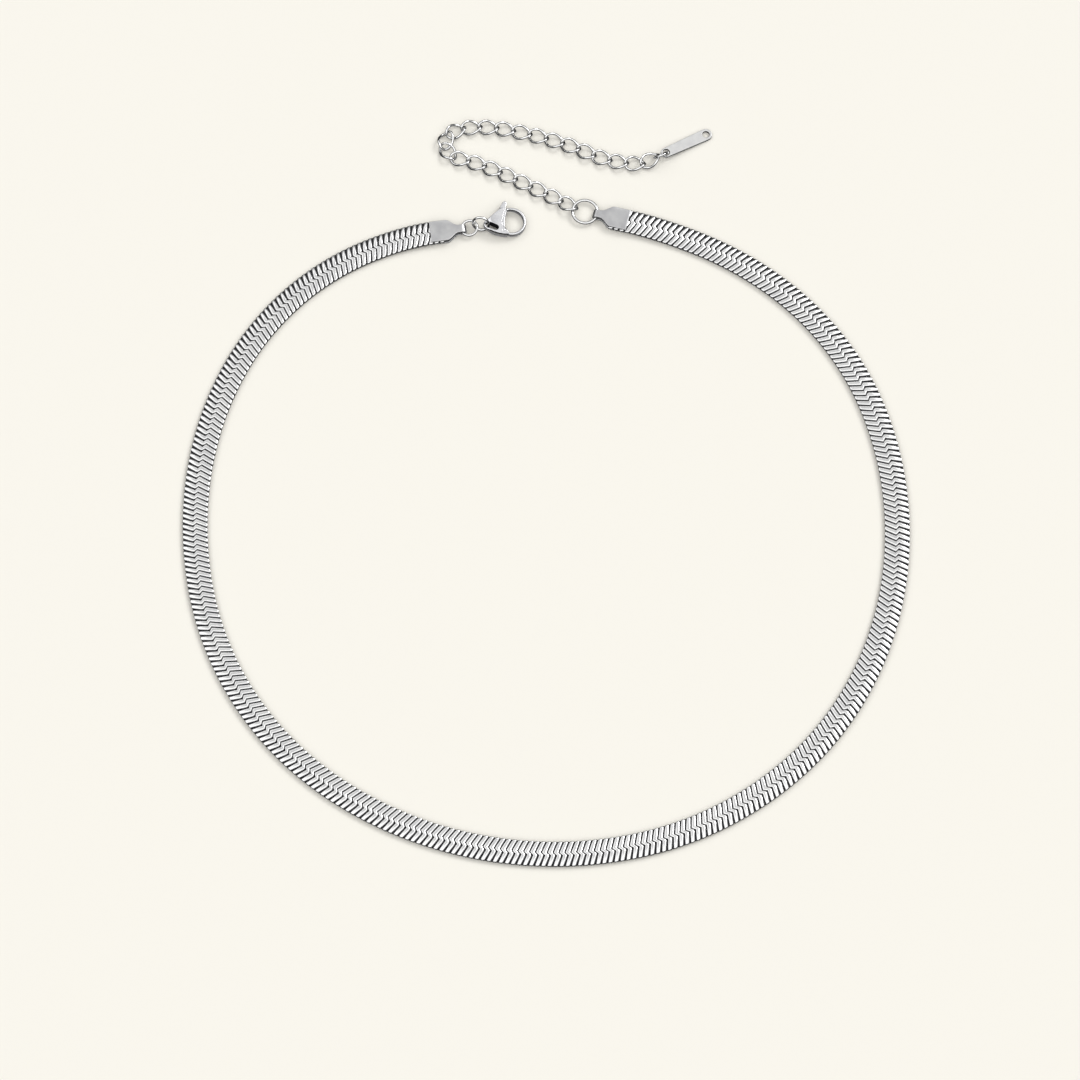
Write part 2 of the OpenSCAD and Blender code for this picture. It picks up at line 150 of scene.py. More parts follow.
@dataclass(frozen=True)
class Steel:
    """One finish of stainless steel, drawn by procedural nodes on Object coordinates.

    Its mottling and its scratches are sized in millimetres, and turn is the heading of
    its grain in degrees.
    """

    name: str
    slot: str
    light: tuple[float, float, float]
    shade: tuple[float, float, float]
    roughness: float
    roughness_spread: float
    mottle: float
    scratch: float
    scratch_depth: float
    grain: Grain = Grain.EVEN
    turn: float = 0.0
    # Colour of the painted shade, mixed into the base colour where the mesh marks it
    painted_shade: tuple[float, float, float] = (0.02, 0.02, 0.022)

    def material(self) -> bpy.types.Material:
        """Material of this finish, made once and then shared.

        Returns:
            A metal whose colour mottles, whose roughness and bump follow fine
            scratches, and which is painted dark and not metallic, as painted shade, where its mesh attribute
            for painted shade is 1.
        """
        made = bpy.data.materials.get(self.name)
        if made is not None:
            return made
        made = bpy.data.materials.new(self.name)
        made.use_nodes = True
        tree = made.node_tree
        shader = tree.nodes["Principled BSDF"]
        shader.inputs["Specular IOR Level"].default_value = 0.0
        where = tree.nodes.new("ShaderNodeTexCoord")
        turned = tree.nodes.new("ShaderNodeMapping")
        turned.inputs["Rotation"].default_value = (0.0, 0.0, -math.radians(self.turn))
        stretch = tree.nodes.new("ShaderNodeMapping")
        stretch.inputs["Scale"].default_value = self.grain.value
        clouds = tree.nodes.new("ShaderNodeTexNoise")
        clouds.inputs["Scale"].default_value = 1.0 / (self.mottle * MM)
        clouds.inputs["Detail"].default_value = 3.0
        lines = tree.nodes.new("ShaderNodeTexNoise")
        lines.inputs["Scale"].default_value = 1.0 / (self.scratch * MM)
        lines.inputs["Detail"].default_value = 2.0
        colours = tree.nodes.new("ShaderNodeValToRGB")
        colours.color_ramp.elements[0].position = 0.35
        colours.color_ramp.elements[0].color = (*self.shade, 1.0)
        colours.color_ramp.elements[1].position = 0.65
        colours.color_ramp.elements[1].color = (*self.light, 1.0)
        # Painted shade: where the mesh marks it, the base colour goes near black and metallic goes to 0
        painted_shade_level = tree.nodes.new("ShaderNodeAttribute")
        painted_shade_level.attribute_name = "painted_shade_level"
        darken = tree.nodes.new("ShaderNodeMix")
        darken.data_type = "RGBA"
        darken.inputs["B"].default_value = (*self.painted_shade, 1.0)
        metal_outside_shade = tree.nodes.new("ShaderNodeMapRange")
        metal_outside_shade.inputs["To Min"].default_value = 1.0
        metal_outside_shade.inputs["To Max"].default_value = 0.0
        rough = tree.nodes.new("ShaderNodeMapRange")
        rough.inputs["To Min"].default_value = max(0.02, self.roughness - self.roughness_spread)
        rough.inputs["To Max"].default_value = self.roughness + self.roughness_spread
        bump = tree.nodes.new("ShaderNodeBump")
        bump.inputs["Distance"].default_value = self.scratch_depth * MM
        bump.inputs["Strength"].default_value = 1.0
        join(tree, (
            (where, "Object", turned, "Vector"),
            (turned, "Vector", stretch, "Vector"),
            (where, "Object", clouds, "Vector"),
            (stretch, "Vector", lines, "Vector"),
            (clouds, "Fac", colours, "Fac"),
            (colours, "Color", darken, "A"),
            (painted_shade_level, "Fac", darken, "Factor"),
            (darken, "Result", shader, "Base Color"),
            (painted_shade_level, "Fac", metal_outside_shade, "Value"),
            (metal_outside_shade, "Result", shader, "Metallic"),
            (lines, "Fac", rough, "Value"),
            (rough, "Result", shader, "Roughness"),
            (lines, "Fac", bump, "Height"),
            (bump, "Normal", shader, "Normal"),
        ))
        return made


WOVEN = Steel(
    "woven_steel", "band_steel", (0.86, 0.86, 0.85), (0.78, 0.78, 0.78),
    0.22, 0.05, 2.4, 0.12, 0.002,
)
SATIN = Steel(
    "satin_sheet", "satin_steel", (0.64, 0.64, 0.64), (0.53, 0.53, 0.54),
    0.34, 0.07, 2.2, 0.06, 0.003, Grain.LONG,
)
BRUSHED = Steel(
    "brushed_tag", "satin_steel", (0.7, 0.7, 0.69), (0.63, 0.63, 0.63),
    0.36, 0.08, 1.4, 0.07, 0.004, Grain.LONG, turn=28.0,
)
WIRE = Steel(
    "bright_wire", "wire_steel", (0.9, 0.9, 0.89), (0.82, 0.82, 0.82),
    0.12, 0.04, 1.2, 0.1, 0.001,
)
CAST = Steel(
    "cast_steel", "clasp_steel", (0.8, 0.8, 0.81), (0.72, 0.72, 0.74),
    0.24, 0.06, 0.9, 0.14, 0.004,
)
RIVET = Steel(
    "burnished_rivet", "pin_steel", (0.76, 0.76, 0.77), (0.68, 0.68, 0.7),
    0.3, 0.08, 0.3, 0.05, 0.002,
)


# Mesh helpers


def long_edges(shape: BMesh, angle: float) -> list[BMEdge]:
    """Edges of a shape whose two faces meet at more than an angle in degrees."""
    return [
        edge
        for edge in shape.edges
        if len(edge.link_faces) == 2 and edge.calc_face_angle(0.0) > math.radians(angle)
    ]


def round_off(shape: BMesh, edges: Sequence[BMEdge], radius: float, segments: int) -> None:
    """Rounds edges of a shape.

    Args:
        shape: The mesh to change.
        edges: Edges to round.
        radius: Width of the rounding, in millimetres.
        segments: Facets across the rounding.
    """
    bmesh.ops.bevel(
        shape,
        geom=list(edges),
        offset=radius,
        offset_type="OFFSET",
        segments=segments,
        profile=0.5,
        affect="EDGES",
        clamp_overlap=True,
        material=-1,
    )


def cut_across(shape: BMesh, point: Vector, normal: Vector) -> None:
    """Adds an edge loop where a plane crosses a shape."""
    geometry = [*shape.verts, *shape.edges, *shape.faces]
    bmesh.ops.bisect_plane(shape, geom=geometry, dist=1e-6, plane_co=point, plane_no=normal)


def flat_plate(outline: Sequence[Vector], holes: Sequence[tuple[Vector, float]], thickness: float) -> BMesh:
    """Plate with a plan outline and round holes, with its mid-plane at height 0.

    Args:
        outline: Corners of the plan, in order.
        holes: Middle and radius of each hole.
        thickness: Thickness of the plate, in millimetres.

    Returns:
        A closed mesh.
    """
    shape = bmesh.new()
    corners = [shape.verts.new((point.x, point.y, -thickness / 2)) for point in outline]
    for here, there in zip(corners, corners[1:] + corners[:1]):
        shape.edges.new((here, there))
    for middle, radius in holes:
        bmesh.ops.create_circle(
            shape,
            cap_ends=False,
            segments=32,
            radius=radius,
            matrix=Matrix.Translation((middle.x, middle.y, -thickness / 2)),
        )
    bmesh.ops.triangle_fill(shape, use_beauty=True, use_dissolve=False, edges=list(shape.edges))
    raised = bmesh.ops.extrude_face_region(shape, geom=list(shape.faces))["geom"]
    bmesh.ops.translate(shape, vec=(0.0, 0.0, thickness), verts=[v for v in raised if isinstance(v, BMVert)])
    bmesh.ops.recalc_face_normals(shape, faces=list(shape.faces))
    bmesh.ops.dissolve_limit(
        shape, angle_limit=math.radians(1.0), verts=list(shape.verts), edges=list(shape.edges)
    )
    return shape


def merge(whole: BMesh, part: BMesh) -> None:
    """Adds a part's mesh to a whole, and frees the part.

    Args:
        whole: The mesh that grows.
        part: The mesh to add.
    """
    carrier = bpy.data.meshes.new("carrier")
    part.to_mesh(carrier)
    part.free()
    whole.from_mesh(carrier)
    bpy.data.meshes.remove(carrier)


def bent_wire(
    wire: float,
    sides: int,
    steps: int,
    centre_line: Callable[[float], tuple[Vector, Vector, Vector]],
    opening: float = 0.0,
) -> BMesh:
    """Wire swept once round a closed line.

    Args:
        wire: Diameter of the wire, in millimetres.
        sides: Facets round the wire.
        steps: Sections along the line.
        centre_line: Gives, for an angle, the point on the line and the two unit
            vectors across the wire there.
        opening: Angle in degrees left open at the wire's cut, or 0 for a soldered ring.

    Returns:
        A closed mesh.
    """
    shape = bmesh.new()
    upright = Matrix.Translation((2.0 * wire, 0.0, 0.0)) @ Matrix.Rotation(math.radians(90.0), 4, "X")
    bmesh.ops.create_circle(
        shape, cap_ends=opening > 0.0, segments=sides, radius=wire / 2, matrix=upright
    )
    bmesh.ops.rotate(
        shape, cent=(0, 0, 0), matrix=Matrix.Rotation(math.radians(opening / 2), 3, "Z"), verts=shape.verts
    )
    bmesh.ops.spin(
        shape,
        geom=[*shape.verts, *shape.edges, *shape.faces],
        cent=(0, 0, 0),
        axis=(0, 0, 1),
        angle=math.radians(360.0 - opening),
        steps=steps,
        use_merge=opening == 0.0,
        use_duplicate=False,
    )
    bmesh.ops.remove_doubles(shape, verts=list(shape.verts), dist=1e-5)
    for vert in shape.verts:
        angle = math.degrees(math.atan2(vert.co.y, vert.co.x))
        out = math.hypot(vert.co.x, vert.co.y) - 2.0 * wire
        point, across, up = centre_line(angle)
        vert.co = point + out * across + vert.co.z * up
    bmesh.ops.recalc_face_normals(shape, faces=list(shape.faces))
    return shape


def finish_piece(
    name: str,
    shape: BMesh,
    finish: Steel,
    body: Body,
    nodes: Sequence[str],
    place: Place | None = None,
    crease: float = 50.0,
) -> bpy.types.Object:
    """Turns a shape in millimetres into a dressed piece of the necklace.

    Args:
        name: Name of the piece.
        shape: Its mesh, freed here.
        finish: Its finish.
        body: The body that it rides on.
        nodes: The solids that it stands for.
        place: Where it lies, or None if it is in place.
        crease: Edges sharper than this many degrees are shaded sharp.

    Returns:
        The new object, at the origin, with its place in its mesh.
    """
    where = place.matrix() if place else Matrix.Identity(4)
    bmesh.ops.transform(shape, matrix=Matrix.Scale(MM, 4) @ where, verts=shape.verts)
    mesh = bpy.data.meshes.new(name)
    shape.to_mesh(mesh)
    shape.free()
    mesh.shade_smooth()
    mesh.set_sharp_from_angle(angle=math.radians(crease))
    mesh.materials.append(finish.material())
    piece = bpy.data.objects.new(name, mesh)
    bpy.context.scene.collection.objects.link(piece)
    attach(piece, body.value)
    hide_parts(*nodes)
    log.info("%s: %d faces for %s", name, len(mesh.polygons), ", ".join(nodes))
    return piece


def mark_painted_shade(piece: bpy.types.Object, levels: Sequence[float]) -> None:
    """Stores how much painted shade each vertex of a piece has.

    Args:
        piece: The piece.
        levels: A share from 0 to 1 for each vertex.
    """
    painted_shade_level = piece.data.attributes.new("painted_shade_level", "FLOAT", "POINT")
    painted_shade_level.data.foreach_set("value", levels)


def plan_points(piece: bpy.types.Object, place: Place) -> list[Vector]:
    """Vertices of a finished piece in the plan that it was drawn in.

    Args:
        piece: The piece, laid at its place.
        place: Where it lies.

    Returns:
        A point in millimetres for each vertex.
    """
    back = (Matrix.Scale(MM, 4) @ place.matrix()).inverted()
    return [back @ vert.co for vert in piece.data.vertices]


def even_normals(piece: bpy.types.Object) -> None:
    """Keeps the flats of a rounded piece flat in their shading.

    Args:
        piece: The piece to shade.
    """
    modifier = piece.modifiers.new("even_normals", "WEIGHTED_NORMAL")
    modifier.keep_sharp = True
    modifier.weight = 100


# Sub-assemblies


@dataclass
class HerringboneBand:
    """Woven band: a row of flat folded links that each cross the whole width.

    The links' rounding is a width and a depth. In the caps the band is pressed thin and
    its outer side is pressed in, and it comes down to the table over the length of rise.
    """

    start: Vector = field(default_factory=lambda: Vector((-22.3004, 51.8321, 0.0)))
    length: float = 376.0
    in_cap: float = 3.3
    width: float = 4.695
    thickness: float = 0.95
    end_thickness: float = 0.8
    cap_thickness: float = 1.5
    pitch: float = 1.1
    gap: float = 0.17
    rounding: tuple[float, float] = (0.45, 0.166)
    end_rounding: float = 0.1
    slit_rim: float = 0.04
    slit_depth: float = 0.14
    # Reach and top margin of the painted shade down the gaps, in millimetres
    shade_reach: float = 0.09
    shade_top: float = 0.05
    tail_inset: float = 0.08
    tail_thickness: float = 0.5
    pressed_side: float = 0.9
    press_run: float = 2.0
    rise: float = 12.0
    # Heading at each 24th of the length, from the clasp's cap to the other
    headings: tuple[float, ...] = (
        -169.5, -152, -134, -117.5, -103.5, -91, -79.5, -65.5, -51, -36.5, -23.5, -11, 1.5,
        14.5, 29, 43, 58, 72, 85, 97, 110, 125.5, 141, 155, 166,
    )
    # Share of the width from the inner edge, and lead along the band in pitches
    leads: tuple[tuple[float, float], ...] = ((0.0, 0.56), (0.45, -0.28), (0.57, 0.26), (1.0, -0.36))
    # How far the links have crept along the band, in pitches, by share of its length
    creep: tuple[tuple[float, float], ...] = (
        (0.0, 0.2), (0.1, -0.1), (0.2, 0.45), (0.33, -1.0), (0.6, -2.25), (0.68, -2.2), (0.85, -0.55),
        (1.0, -0.25),
    )
    # Share of the width from the inner edge, and gap to the next link
    gaps: tuple[tuple[float, float], ...] = (
        (0.0, 0.32), (0.07, 0.22), (0.45, 0.16), (0.51, 0.11), (0.57, 0.34), (0.64, 0.21), (1.0, 0.34),
    )
    # Share of the width from the inner edge, and share of the thickness
    crown: tuple[tuple[float, float], ...] = ((0.0, 0.84), (0.45, 1.0), (0.57, 1.0), (1.0, 0.84))

    def __post_init__(self) -> None:
        """Walks the route once, with two stations to a link."""
        whole = self.length + 2 * self.in_cap
        self.count = round(whole / self.pitch)
        self.step = whole / self.count / 2
        point = self.start - self.in_cap * heading(self.headings[0])
        self.stations = [point]
        for index in range(2 * self.count):
            point = point + self.step * heading(self.heading_at((index + 0.5) * self.step - self.in_cap))
            self.stations.append(point)

    def heading_at(self, along: float) -> float:
        """Heading of the band at a distance from the clasp's cap."""
        rows = list(enumerate(self.headings))
        return lookup(along / self.length * (len(self.headings) - 1), rows)

    def point(self, along: float, side: float, up: float) -> Vector:
        """Point of the band.

        Args:
            along: Distance from the clasp's cap, along the band.
            side: Distance from its middle line, towards the inner edge.
            up: Height over its mid-plane, for the full thickness.

        Returns:
            The point on the table, where the band is pressed thin in its caps.
        """
        reach = (along + self.in_cap) / self.step
        index = max(0, min(2 * self.count - 1, math.floor(reach)))
        flat = self.stations[index].lerp(self.stations[index + 1], reach - index)
        outside = min(along, self.length - along)
        pressed = mix(self.end_thickness, self.thickness, ease(outside / self.press_run)) / self.thickness
        middle = mix(self.cap_thickness, self.thickness, ease(outside / self.rise)) / 2
        return flat + side * leftward(self.heading_at(along)) + Vector((0.0, 0.0, middle + pressed * up))

    def crept(self, along: float) -> float:
        """Distance along the band, with the links' creep added."""
        return along + lookup(along / self.length, self.creep) * self.pitch

    def plate(self) -> BMesh:
        """One link, straight.

        Returns:
            A closed mesh, across the band on X and along it on Y.
        """
        shape = bmesh.new()
        bmesh.ops.create_cube(shape, size=1.0)
        wide, deep = self.rounding
        size = (self.width, 2 * self.step - self.gap, self.thickness * wide / deep)
        bmesh.ops.scale(shape, vec=size, verts=shape.verts)
        across = [e for e in shape.edges if e.verts[0].co.x * e.verts[1].co.x < 0.0]
        round_off(shape, [e for e in across if e.verts[0].co.z > 0.0], wide, 3)
        round_off(shape, [e for e in across if e.is_valid and e.verts[0].co.z < 0.0], wide, 1)
        bmesh.ops.scale(shape, vec=(1.0, 1.0, deep / wide), verts=shape.verts)
        end = self.width / 2 - 1e-4
        ends = [
            e for e in shape.edges
            if all(abs(v.co.x) > end for v in e.verts) and e.verts[0].co.x * e.verts[1].co.x > 0.0
        ]
        round_off(shape, ends, self.end_rounding, 1)
        tips = [f for f in shape.faces if all(abs(v.co.x) > end for v in f.verts)]
        bmesh.ops.inset_individual(shape, faces=tips, thickness=self.slit_rim, depth=-self.slit_depth)
        for share, _ in self.gaps[1:-1]:
            cut_across(shape, Vector(((0.5 - share) * self.width, 0, 0)), Vector((1, 0, 0)))
        return shape

    def painted_shade(self, point: Vector) -> float:
        """Painted shade of a point, by how far it is down in a slit or a gap.

        Args:
            point: Point of a straight link.

        Returns:
            A share of painted shade, from 0 on top to 1 fully dark.
        """
        if abs(abs(point.x) - self.width / 2 + self.slit_depth) < WALL / 2:
            return 1.0
        inward = self.step - self.gap / 2 - abs(point.y)
        below = self.thickness / 2 - self.shade_top - abs(point.z)
        return ease(1.0 - inward / self.shade_reach) * ease(below / (2 * self.shade_top))

    def weave(self) -> tuple[BMesh, list[float]]:
        """All the links, laid along the route.

        Returns:
            The mesh, and the painted shade of each of its vertices, from 0 to 1, by how far it is down in a
            gap.
        """
        single = self.plate()
        one = bpy.data.meshes.new("plate")
        single.to_mesh(one)
        levels = [self.painted_shade(vert.co) for vert in single.verts]
        single.free()
        whole = bmesh.new()
        for index in range(self.count):
            whole.from_mesh(one)
            whole.verts.ensure_lookup_table()
            along = (2 * index + 1) * self.step - self.in_cap
            for vert in whole.verts[-len(levels):]:
                share = 0.5 - vert.co.x / self.width
                lead = lookup(share, self.leads) * self.pitch
                spread = (2 * self.step - lookup(share, self.gaps)) / (2 * self.step - self.gap)
                at = self.crept(along + lead + spread * vert.co.y)
                free = vert.co.x > 0 or -0.2 < at < self.length + 0.2
                side = vert.co.x * (1.0 if free else self.pressed_side)
                vert.co = self.point(at, side, vert.co.z * lookup(share, self.crown))
        bpy.data.meshes.remove(one)
        return whole, levels * self.count

    def tails(self) -> BMesh:
        """The links' folded tails, which lie under their neighbours and close the gaps; they are painted
        fully dark as the shade seen down the gaps.

        Returns:
            A closed mesh along the whole band.
        """
        shape = bmesh.new()
        bmesh.ops.create_grid(shape, x_segments=self.count, y_segments=6, size=0.5)
        bmesh.ops.solidify(shape, geom=list(shape.faces), thickness=self.tail_thickness)
        bmesh.ops.recalc_face_normals(shape, faces=list(shape.faces))
        middle = sum(vert.co.z for vert in shape.verts) / len(shape.verts)
        whole = self.length + 2 * self.in_cap - 2 * self.pitch
        for vert in shape.verts:
            side = vert.co.y * (self.width - 2 * self.tail_inset)
            lead = lookup(0.5 - side / self.width, self.leads) * self.pitch / 2
            along = (vert.co.x + 0.5) * whole + self.pitch - self.in_cap
            vert.co = self.point(along + lead, side, vert.co.z - middle)
        return shape

    def build(self) -> None:
        """Builds the band and dresses it."""
        links, levels = self.weave()
        tails = self.tails()
        # The tails are painted fully dark: painted shade down the gaps between the links
        levels += [1.0] * len(tails.verts)
        merge(links, tails)
        piece = finish_piece("band_links", links, WOVEN, Body.NECKLACE, ["herringbone_band"], crease=80.0)
        mark_painted_shade(piece, levels)


@dataclass
class EndCap:
    """Sheet cap, folded over the band's end, with a narrow neck that holds a ring."""

    name: str
    node: str
    place: Place
    length: float = 7.0
    width: float = 4.3
    neck: float = 1.6
    sheet: float = 0.3
    inside: float = 0.9
    shoulder: float = 0.45
    waist: float = 0.78
    rounding: float = 0.07

    def half_width(self, along: float) -> float:
        """Half width of the cap at a distance from its mouth."""
        share = (along / self.length - self.shoulder) / (self.waist - self.shoulder)
        return mix(self.width, self.neck, ease(share)) / 2

    def build(self) -> None:
        """Builds the blank flat, rounds its rim, folds it and dresses it."""
        radius = (self.inside + self.sheet) / 2
        reach = self.length - self.inside / 2 - self.sheet
        run = 2 * reach + math.pi * radius
        shape = bmesh.new()
        bmesh.ops.create_grid(shape, x_segments=56, y_segments=8, size=0.5)
        for vert in shape.verts:
            along = (vert.co.x + 0.5) * run
            from_mouth = min(along, run - along, reach)
            vert.co = Vector((along, vert.co.y * 2 * self.half_width(from_mouth), self.sheet / 2))
        raised = bmesh.ops.extrude_face_region(shape, geom=list(shape.faces))["geom"]
        bmesh.ops.translate(
            shape, vec=(0, 0, -self.sheet), verts=[v for v in raised if isinstance(v, BMVert)]
        )
        bmesh.ops.recalc_face_normals(shape, faces=list(shape.faces))
        round_off(shape, long_edges(shape, 60.0), self.rounding, 2)
        for vert in shape.verts:
            along, across, out = vert.co
            if along < reach:
                vert.co = Vector((along, across, -radius - out))
            elif along > run - reach:
                vert.co = Vector((run - along, across, radius + out))
            else:
                turn = (along - reach) / radius
                vert.co = Vector(
                    (reach + (radius + out) * math.sin(turn), across, -(radius + out) * math.cos(turn))
                )
        bmesh.ops.recalc_face_normals(shape, faces=list(shape.faces))
        even_normals(finish_piece(self.name, shape, SATIN, Body.NECKLACE, [self.node], self.place))


@dataclass
class WireRing:
    """Ring of round wire. A jump ring shows its cut, and a soldered one has none."""

    name: str
    node: str
    outer: float
    wire: float
    place: Place
    opening: float = 1.5
    sides: int = 20
    steps: int = 72

    def build(self) -> None:
        """Builds the ring and dresses it."""
        radius = (self.outer - self.wire) / 2

        def line(angle: float) -> tuple[Vector, Vector, Vector]:
            """Point and cross vectors on the ring's circle."""
            return radius * heading(angle), heading(angle), Vector((0, 0, 1))

        shape = bent_wire(self.wire, self.sides, self.steps, line, self.opening)
        finish_piece(self.name, shape, WIRE, Body.NECKLACE, [self.node], self.place)


RINGS = (
    WireRing("jump_ring_a", "clasp_ring_a", 3.6, 0.5, Place(-14.7535, 52.8927, 0.992473, 8.0, -9.0)),
    WireRing("jump_ring_b", "clasp_ring_b", 3.6, 0.5, Place(-12.5311, 53.4468, 1.666, -8.0, 0.0, 66.0)),
    WireRing("large_ring", "extender_ring", 5.4, 0.55, Place(7.54053, 56.4571, 0.834631, 166.0, -2.0), 0.0),
    WireRing("jump_ring_tag", "tag_ring", 3.2, 0.4, Place(22.3167, 68.3383, 1.43613, 24.0, 0.0, 118.0)),
)


@dataclass
class CurbChain:
    """Extender of twisted oval links, each through its neighbour."""

    first: Vector = field(default_factory=lambda: Vector((6.01822, 57.0112, 0.0)))
    count: int = 23
    length: float = 4.4
    width: float = 3.2
    wire: float = 0.46
    twist: float = 46.0
    gap: float = 0.15
    first_roll: float = 10.0
    last_lift: float = 7.0
    bend_room: float = 1 / 150
    level: float = 0.768639
    first_level: float = 0.905063
    sides: int = 14
    steps: int = 56
    # Share of the links from the large ring, and heading
    route: tuple[tuple[float, float], ...] = (
        (0.0, 151), (0.18, 153), (0.27, 159), (0.32, 167), (0.365, 127), (0.41, 69), (0.455, 22),
        (0.5, 4), (0.59, -11), (0.73, -18), (0.82, -26), (0.91, -11), (0.955, -2), (1.0, 28),
    )

    def heading_of(self, index: int) -> float:
        """Heading of a link, counted from 1 at the large ring."""
        return lookup((index - 1) / (self.count - 1), self.route)

    def reach(self, index: int) -> float:
        """How far a link reaches along the chain.

        Args:
            index: Number of the link, counted from 1 at the large ring.

        Returns:
            Distance from its middle to where it meets the next one, less where they bend.
        """
        bend = 0.0
        if 1 <= index < self.count:
            bend = abs(self.heading_of(index + 1) - self.heading_of(index))
            bend += self.first_roll if index == 1 else 0.0
        return (self.length - self.wire) / 2 - (self.wire + self.gap + bend * self.bend_room) / 2

    def places(self) -> list[Place]:
        """Lays the links head to tail.

        Returns:
            Place of each link, from the large ring to the tag.
        """
        half = (self.length - self.wire) / 2
        middle = self.first + half * heading(self.heading_of(1))
        found = []
        for index in range(1, self.count + 1):
            roll = self.first_roll if index == 1 else 0.0
            lift = self.last_lift if index == self.count else 0.0
            height = (self.first_level if index == 1 else self.level) + half * math.sin(math.radians(lift))
            found.append(Place(middle.x, middle.y, height, self.heading_of(index), -lift, roll))
            ahead = heading(self.heading_of(index)) + heading(self.heading_of(index + 1))
            middle = middle + self.reach(index) * ahead
        return found

    def line(self, angle: float) -> tuple[Vector, Vector, Vector]:
        """Point on a twisted oval, and the two unit vectors across the wire there.

        Args:
            angle: Angle round the oval, in degrees.

        Returns:
            The point, the vector out of the oval and the vector square to it.
        """

        def point(at: float) -> Vector:
            """Point of the oval's middle line."""
            roll = math.radians(-self.twist * math.cos(math.radians(at)))
            side = (self.width - self.wire) / 2 * math.sin(math.radians(at))
            reach = (self.length - self.wire) / 2 * math.cos(math.radians(at))
            return Vector((reach, side * math.cos(roll), side * math.sin(roll)))

        along = (point(angle + 1.0) - point(angle - 1.0)).normalized()
        roll = math.radians(-self.twist * math.cos(math.radians(angle)))
        rim = Vector(
            (
                (self.width - self.wire) * math.cos(math.radians(angle)),
                (self.length - self.wire) * math.sin(math.radians(angle)) * math.cos(roll),
                (self.length - self.wire) * math.sin(math.radians(angle)) * math.sin(roll),
            )
        )
        out = (rim - rim.dot(along) * along).normalized()
        return point(angle), out, along.cross(out)

    def build(self) -> None:
        """Builds every link and dresses it."""
        for index, place in enumerate(self.places(), 1):
            shape = bent_wire(self.wire, self.sides, self.steps, self.line)
            finish_piece(f"curb_link_{index:02d}", shape, WIRE, Body.NECKLACE, [f"link_{index:02d}"], place)


